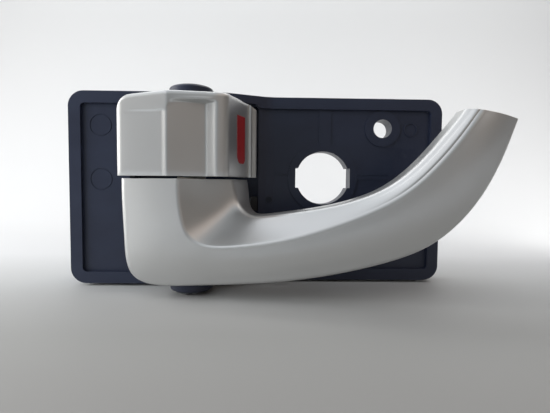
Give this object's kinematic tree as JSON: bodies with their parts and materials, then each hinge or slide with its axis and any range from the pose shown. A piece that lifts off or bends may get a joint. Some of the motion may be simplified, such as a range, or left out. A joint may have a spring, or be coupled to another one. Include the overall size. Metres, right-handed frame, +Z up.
{
  "type": "car inner door handle",
  "caption": "Inner door handle: a curved pull lever and a lock knob turn on one upright pin in a stepped moulded housing with a keyed boss bore, screw hole and cable saddles.",
  "frame": {"origin": "centre of the trim boss bore on the housing's front floor", "axes": "+X to the lever's tip, +Y out of the bore to the rear, +Z up"},
  "size_m": [0.1447, 0.0499, 0.0701],
  "materials": {
    "housing_plastic": "fine moulded grain",
    "silver_paint": "satin silver paint",
    "black_plastic": "moulded",
    "red_mark": "smooth",
    "steel": "zinc plated",
    "spring_steel": "drawn wire",
    "nylon": "natural nylon",
    "stop_rubber": "matte",
    "foam": "open cell foam"
  },
  "bodies": {
    "housing_body": {"housing": "housing_plastic", "hub_well": "housing_plastic", "stop_lugs": "housing_plastic", "pivot_pin": "steel", "pin_retaining_ring": "spring_steel", "spacer_washers": "nylon", "lever_return_spring": "spring_steel", "lock_detent_spring": "spring_steel", "lever_rest_stop": "stop_rubber", "lever_open_stop": "stop_rubber", "lock_stop_pads": "stop_rubber", "foam_edge_strips": "foam"},
    "lever": {"lever_front_shell": "silver_paint", "lever_core": "black_plastic", "lever_back_cover": "black_plastic", "lever_screws": "steel"},
    "lock_knob": {"lock_knob_cap": "silver_paint", "lock_knob_core": "black_plastic", "red_lock_mark": "red_mark", "lock_knob_screw": "steel"},
    "latch_clip": {"latch_cable_clip": "nylon"},
    "lock_clip": {"lock_cable_clip": "nylon"}
  },
  "joints": [
    {"name": "lever_pull", "type": "hinge", "parent": "housing_body", "child": "lever", "pos_m": [-0.047, -0.016, 0], "axis": [0, 0, -1], "range_deg": [0, 40], "stiffness_Nm_per_rad": 1.2, "springref_deg": -20.05, "deforming": ["lever_return_spring"]},
    {"name": "lock_turn", "type": "hinge", "parent": "housing_body", "child": "lock_knob", "pos_m": [-0.047, -0.016, 0], "axis": [0, 0, 1], "range_deg": [0, 16], "deforming": ["lock_detent_spring"]},
    {"name": "latch_clip_swivel", "type": "hinge", "parent": "lever", "child": "latch_clip", "pos_m": [-0.047, 0.006, 0], "axis": [0, 0, 1], "range_deg": [-45, 60]},
    {"name": "lock_clip_swivel", "type": "hinge", "parent": "lock_knob", "child": "lock_clip", "pos_m": [-0.047, 0.006, 0], "axis": [0, 0, 1], "range_deg": [-45, 60]}
  ]
}
